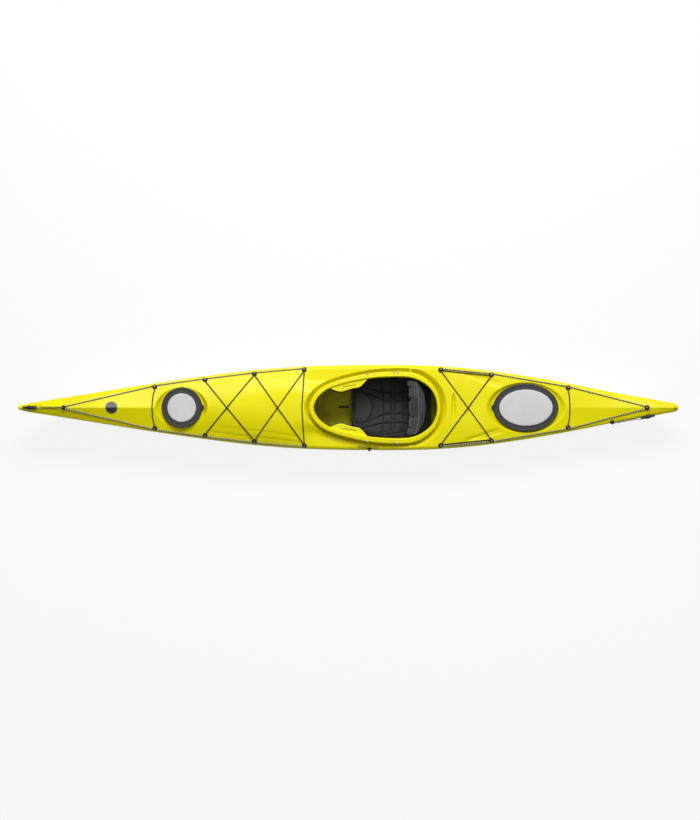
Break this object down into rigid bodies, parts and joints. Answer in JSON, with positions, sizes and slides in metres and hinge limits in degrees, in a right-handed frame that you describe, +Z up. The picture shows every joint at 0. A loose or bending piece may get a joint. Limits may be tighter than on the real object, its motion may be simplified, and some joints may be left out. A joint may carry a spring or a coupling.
{
  "type": "sea kayak",
  "caption": "Moulded touring kayak: hull with sealed bow and stern holds, rubber hatches, deck lines, bungees, padded tilting seat, foot pedals and drop skeg.",
  "frame": {"origin": "middle of the flat keel strip, halfway along the hull", "axes": "+X towards the stern, +Y to starboard, +Z up"},
  "size_m": [4.42, 0.5848, 0.417],
  "materials": {
    "hull": "moulded polyethylene, semi-gloss yellow",
    "rubber": "matt rubber",
    "panel": "pale grey moulded plastic",
    "fitting": "black moulded nylon",
    "foam": "black closed-cell foam",
    "seat_fabric": "black padded fabric",
    "seat_shell": "charcoal moulded plastic",
    "deck_line": "black line with pale flecks",
    "bungee": "black shock cord",
    "toggle_cord": "black cord",
    "steel": "stainless steel",
    "badge": "dark disc"
  },
  "bodies": {
    "hull": {"hull_shell": "hull", "thigh_pad_starboard": "foam", "thigh_pad_port": "foam", "front_hatch_collar": "fitting", "rear_hatch_collar": "fitting", "bow_deck_line_starboard": "deck_line", "bow_deck_line_port": "deck_line", "stern_deck_line_starboard": "deck_line", "stern_deck_line_port": "deck_line", "bungee_bow_front": "bungee", "bungee_bow_lattice": "bungee", "bungee_stern_bow_tie": "bungee", "bungee_stern_aft": "bungee", "deck_eye_2_starboard": "fitting", "deck_eye_2_port": "fitting", "deck_eye_3_starboard": "fitting", "deck_eye_3_port": "fitting", "deck_eye_4_starboard": "fitting", "deck_eye_4_port": "fitting", "deck_eye_5_starboard": "fitting", "deck_eye_5_port": "fitting", "deck_eye_6_starboard": "fitting", "deck_eye_6_port": "fitting", "deck_eye_7_starboard": "fitting", "deck_eye_7_port": "fitting", "deck_eye_8_starboard": "fitting", "deck_eye_8_port": "fitting", "deck_eye_1": "fitting", "deck_eye_9": "fitting", "deck_eye_10": "fitting", "seat_pan": "fitting", "seat_pad": "seat_fabric", "backrest_pivot_starboard": "steel", "backrest_pivot_port": "steel", "leg_strap": "seat_fabric", "foot_rail_starboard": "fitting", "foot_rail_port": "fitting", "skeg_box": "fitting", "skeg_pivot_pin": "steel", "skeg_track": "fitting", "skeg_cable_housing": "fitting", "bow_bulkhead": "foam", "stern_bulkhead": "foam", "deck_badge": "badge", "stern_plug": "rubber"},
    "front_hatch": {"front_hatch_ring": "rubber", "front_hatch_panel": "panel"},
    "rear_hatch": {"rear_hatch_ring": "rubber", "rear_hatch_panel": "panel"},
    "backrest": {"backrest_shell": "seat_shell", "backrest_pad": "seat_fabric"},
    "starboard_pedal": {"foot_pedal_starboard": "fitting"},
    "port_pedal": {"foot_pedal_port": "fitting"},
    "skeg": {"skeg_blade": "fitting"},
    "slider": {"skeg_slider": "fitting"},
    "bow_toggle": {"bow_toggle": "fitting", "bow_toggle_cord": "toggle_cord"},
    "stern_toggle": {"stern_toggle": "fitting", "stern_toggle_cord": "toggle_cord"}
  },
  "joints": [
    {"name": "front_hatch_lift", "type": "slide", "parent": "hull", "child": "front_hatch", "axis": [0, 0, 1], "range_m": [0, 0.15]},
    {"name": "rear_hatch_lift", "type": "slide", "parent": "hull", "child": "rear_hatch", "axis": [0, 0, 1], "range_m": [0, 0.15]},
    {"name": "backrest_tilt", "type": "hinge", "parent": "hull", "child": "backrest", "pos_m": [0.44, 0, 0.092], "axis": [0, 1, 0], "range_deg": [-25, 6]},
    {"name": "starboard_pedal_slide", "type": "slide", "parent": "hull", "child": "starboard_pedal", "axis": [0.995, 0.0997, 0], "range_m": [-0.12, 0.12]},
    {"name": "port_pedal_slide", "type": "slide", "parent": "hull", "child": "port_pedal", "axis": [0.995, -0.0997, 0], "range_m": [-0.12, 0.12]},
    {"name": "skeg_drop", "type": "hinge", "parent": "hull", "child": "skeg", "pos_m": [1.479, 0, 0.046], "axis": [0, 1, 0], "range_deg": [0, 55]},
    {"name": "skeg_slider_slide", "type": "slide", "parent": "hull", "child": "slider", "axis": [-1, 0, 0], "range_m": [0, 0.04]},
    {"name": "bow_toggle_swing", "type": "hinge", "parent": "hull", "child": "bow_toggle", "pos_m": [-1.90281, 0, 0.40693], "axis": [0, 1, 0], "range_deg": [0, 100]},
    {"name": "stern_toggle_swing", "type": "hinge", "parent": "hull", "child": "stern_toggle", "pos_m": [1.76873, -0.107, 0.28134], "axis": [0.1774, -0.6823, -0.7092], "range_deg": [0, 100]}
  ],
  "couplings": [
    {"joint": "skeg_slider_slide", "follows": "skeg_drop", "m_per_rad": 0.0416}
  ]
}
